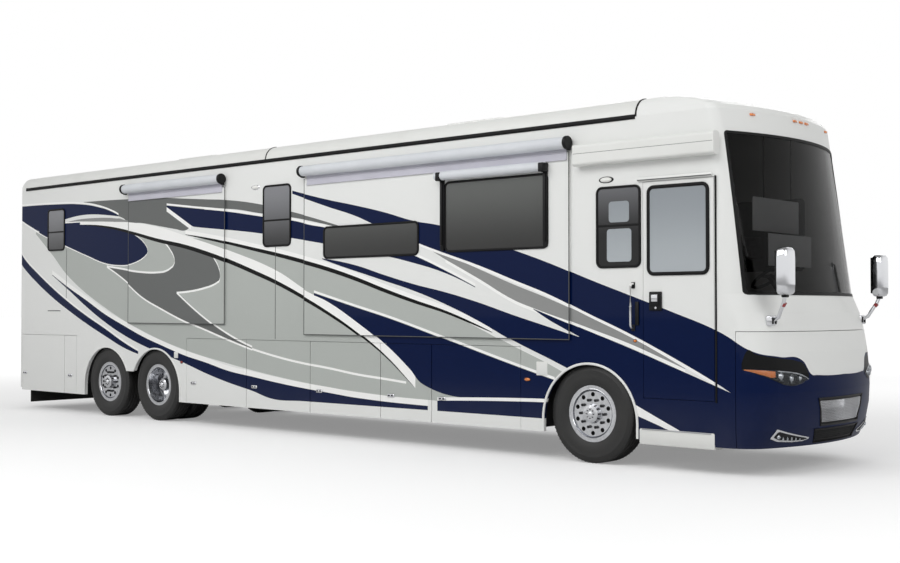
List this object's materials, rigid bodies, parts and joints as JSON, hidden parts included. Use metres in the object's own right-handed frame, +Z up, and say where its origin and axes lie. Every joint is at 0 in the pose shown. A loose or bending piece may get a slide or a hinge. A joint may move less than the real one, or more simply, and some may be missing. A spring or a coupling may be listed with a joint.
{
  "type": "motorhome",
  "caption": "Class A motorhome on a tag-axle coach chassis, with slide-out rooms, luggage doors, an entry door, a sliding front mask and steered front wheels.",
  "frame": {"origin": "on the ground, under the middle of the whole vehicle's box", "axes": "+X forward, +Y to the driver's side (left), +Z up"},
  "size_m": [13.7397, 2.8606, 3.9599],
  "materials": {
    "body_paint": "gloss two-tone livery",
    "roof_white": "satin gelcoat",
    "frame_steel": "matt black chassis paint",
    "engine_enamel": "satin engine enamel",
    "floor_board": "sealed composite board",
    "lamp_red": "clear moulded lens",
    "lamp_clear": "clear moulded lens over a reflector",
    "dark_glass": "dark tinted safety glass",
    "screen_glass": "lightly tinted laminated glass",
    "awning_case": "satin anodised",
    "dash_plastic": "grained moulding",
    "seat_leather": "soft upholstery",
    "chrome_trim": "polished",
    "grille_mesh": "satin mesh",
    "tyre_rubber": "ribbed road tyre",
    "wheel_alloy": "polished alloy"
  },
  "bodies": {
    "root": {"chassis_frame": "frame_steel", "engine_block": "engine_enamel", "front_axle": "frame_steel", "rear_axles": "frame_steel", "cabin_floor": "floor_board", "storage_bays": "frame_steel", "roof": "roof_white", "roof_units": "roof_white", "rear_cap": "body_paint", "tail_lamps": "lamp_red", "side_wall_right": "body_paint", "side_wall_left": "body_paint", "side_windows": "dark_glass", "door_awning": "awning_case", "front_cap": "body_paint", "windshield": "screen_glass", "dashboard": "dash_plastic", "cab_seats": "seat_leather", "mirrors": "chrome_trim"},
    "engine_hatch": {"engine_hatch": "body_paint"},
    "entry_door": {"entry_door": "body_paint", "entry_door_window": "screen_glass"},
    "slide_front_right": {"slide_front_right": "body_paint", "slide_front_right_windows": "dark_glass", "slide_front_right_awning": "awning_case"},
    "slide_rear_right": {"slide_rear_right": "body_paint", "slide_rear_right_awning": "awning_case"},
    "slide_left": {"slide_left": "body_paint", "slide_left_windows": "dark_glass", "slide_left_awning": "awning_case"},
    "front_mask": {"front_mask": "body_paint", "front_lamps": "lamp_clear", "front_grille": "grille_mesh", "generator": "engine_enamel"},
    "bay_door_right_1": {"bay_door_right_1": "body_paint"},
    "bay_door_right_2": {"bay_door_right_2": "body_paint"},
    "bay_door_right_3": {"bay_door_right_3": "body_paint"},
    "bay_door_right_4": {"bay_door_right_4": "body_paint"},
    "bay_door_right_5": {"bay_door_right_5": "body_paint"},
    "bay_door_right_6": {"bay_door_right_6": "body_paint"},
    "bay_door_right_7": {"bay_door_right_7": "body_paint"},
    "bay_door_left_1": {"bay_door_left_1": "body_paint"},
    "bay_door_left_2": {"bay_door_left_2": "body_paint"},
    "bay_door_left_3": {"bay_door_left_3": "body_paint"},
    "bay_door_left_4": {"bay_door_left_4": "body_paint"},
    "knuckle_right": {"knuckle_right": "frame_steel"},
    "knuckle_left": {"knuckle_left": "frame_steel"},
    "tie_rod": {"tie_rod": "frame_steel"},
    "front_wheel_right": {"front_tyre_right": "tyre_rubber", "front_rim_right": "wheel_alloy"},
    "front_wheel_left": {"front_tyre_left": "tyre_rubber", "front_rim_left": "wheel_alloy"},
    "drive_wheel_right": {"drive_tyre_right": "tyre_rubber", "drive_rim_right": "wheel_alloy"},
    "drive_wheel_left": {"drive_tyre_left": "tyre_rubber", "drive_rim_left": "wheel_alloy"},
    "tag_wheel_right": {"tag_tyre_right": "tyre_rubber", "tag_rim_right": "wheel_alloy"},
    "tag_wheel_left": {"tag_tyre_left": "tyre_rubber", "tag_rim_left": "wheel_alloy"}
  },
  "joints": [
    {"name": "bay_door_right_1_hinge", "type": "hinge", "parent": "root", "child": "bay_door_right_1", "pos_m": [-5.495, -1.2825, 0.755], "axis": [0, 0, 1], "range_deg": [0, 90]},
    {"name": "bay_door_right_2_hinge", "type": "hinge", "parent": "root", "child": "bay_door_right_2", "pos_m": [-5.145, -1.2825, 0.755], "axis": [0, 0, 1], "range_deg": [0, 90]},
    {"name": "bay_door_right_3_hinge", "type": "hinge", "parent": "root", "child": "bay_door_right_3", "pos_m": [-0.995, -1.2825, 0.755], "axis": [0, 0, 1], "range_deg": [0, 90]},
    {"name": "bay_door_right_4_hinge", "type": "hinge", "parent": "root", "child": "bay_door_right_4", "pos_m": [0.28, -1.2825, 0.755], "axis": [0, 0, 1], "range_deg": [0, 90]},
    {"name": "bay_door_right_5_hinge", "type": "hinge", "parent": "root", "child": "bay_door_right_5", "pos_m": [1.545, -1.2825, 0.755], "axis": [0, 0, 1], "range_deg": [0, 90]},
    {"name": "bay_door_right_6_hinge", "type": "hinge", "parent": "root", "child": "bay_door_right_6", "pos_m": [2.385, -1.2825, 0.755], "axis": [0, 0, 1], "range_deg": [0, 90]},
    {"name": "bay_door_right_7_hinge", "type": "hinge", "parent": "root", "child": "bay_door_right_7", "pos_m": [3.715, -1.2825, 0.755], "axis": [0, 0, 1], "range_deg": [0, 90]},
    {"name": "bay_door_left_1_hinge", "type": "hinge", "parent": "root", "child": "bay_door_left_1", "pos_m": [-0.995, 1.2825, 0.755], "axis": [0, 0, -1], "range_deg": [0, 90]},
    {"name": "bay_door_left_2_hinge", "type": "hinge", "parent": "root", "child": "bay_door_left_2", "pos_m": [0.28, 1.2825, 0.755], "axis": [0, 0, -1], "range_deg": [0, 90]},
    {"name": "bay_door_left_3_hinge", "type": "hinge", "parent": "root", "child": "bay_door_left_3", "pos_m": [2.385, 1.2825, 0.755], "axis": [0, 0, -1], "range_deg": [0, 90]},
    {"name": "bay_door_left_4_hinge", "type": "hinge", "parent": "root", "child": "bay_door_left_4", "pos_m": [3.715, 1.2825, 0.755], "axis": [0, 0, -1], "range_deg": [0, 90]},
    {"name": "entry_door_hinge", "type": "hinge", "parent": "root", "child": "entry_door", "pos_m": [6.115, -1.2825, 1.82], "axis": [0, 0, 1], "range_deg": [0, 90]},
    {"name": "engine_hatch_hinge", "type": "hinge", "parent": "root", "child": "engine_hatch", "pos_m": [-6.87, 0, 1.66], "axis": [0, 1, 0], "range_deg": [0, 80]},
    {"name": "slide_front_right_travel", "type": "slide", "parent": "root", "child": "slide_front_right", "axis": [0, -1, 0], "range_m": [0, 0.6]},
    {"name": "slide_rear_right_travel", "type": "slide", "parent": "root", "child": "slide_rear_right", "axis": [0, -1, 0], "range_m": [0, 0.6]},
    {"name": "slide_left_travel", "type": "slide", "parent": "root", "child": "slide_left", "axis": [0, 1, 0], "range_m": [0, 0.6]},
    {"name": "front_mask_travel", "type": "slide", "parent": "root", "child": "front_mask", "axis": [1, 0, 0], "range_m": [0, 0.5]},
    {"name": "knuckle_right_steer", "type": "hinge", "parent": "root", "child": "knuckle_right", "pos_m": [4.63, -0.93, 0.5215], "axis": [0, 0, 1], "range_deg": [-45, 45]},
    {"name": "knuckle_left_steer", "type": "hinge", "parent": "root", "child": "knuckle_left", "pos_m": [4.63, 0.93, 0.5215], "axis": [0, 0, 1], "range_deg": [-45, 45]},
    {"name": "tie_rod_pivot", "type": "hinge", "parent": "knuckle_left", "child": "tie_rod", "pos_m": [4.38, 0.8, 0.42], "axis": [0, 0, 1], "range_deg": [-45, 45]},
    {"name": "front_wheel_right_spin", "type": "hinge", "parent": "knuckle_right", "child": "front_wheel_right", "pos_m": [4.63, -1.1, 0.5215], "axis": [0, 1, 0], "continuous": true},
    {"name": "front_wheel_left_spin", "type": "hinge", "parent": "knuckle_left", "child": "front_wheel_left", "pos_m": [4.63, 1.1, 0.5215], "axis": [0, 1, 0], "continuous": true},
    {"name": "drive_wheel_right_spin", "type": "hinge", "parent": "root", "child": "drive_wheel_right", "pos_m": [-3.06, -1.1, 0.5215], "axis": [0, 1, 0], "continuous": true},
    {"name": "drive_wheel_left_spin", "type": "hinge", "parent": "root", "child": "drive_wheel_left", "pos_m": [-3.06, 1.1, 0.5215], "axis": [0, 1, 0], "continuous": true},
    {"name": "tag_wheel_right_spin", "type": "hinge", "parent": "root", "child": "tag_wheel_right", "pos_m": [-4.31, -1.1, 0.5215], "axis": [0, 1, 0], "continuous": true},
    {"name": "tag_wheel_left_spin", "type": "hinge", "parent": "root", "child": "tag_wheel_left", "pos_m": [-4.31, 1.1, 0.5215], "axis": [0, 1, 0], "continuous": true}
  ],
  "couplings": [
    {"joint": "knuckle_left_steer", "follows": "knuckle_right_steer", "ratio": 1},
    {"joint": "tie_rod_pivot", "follows": "knuckle_right_steer", "ratio": -1}
  ]
}
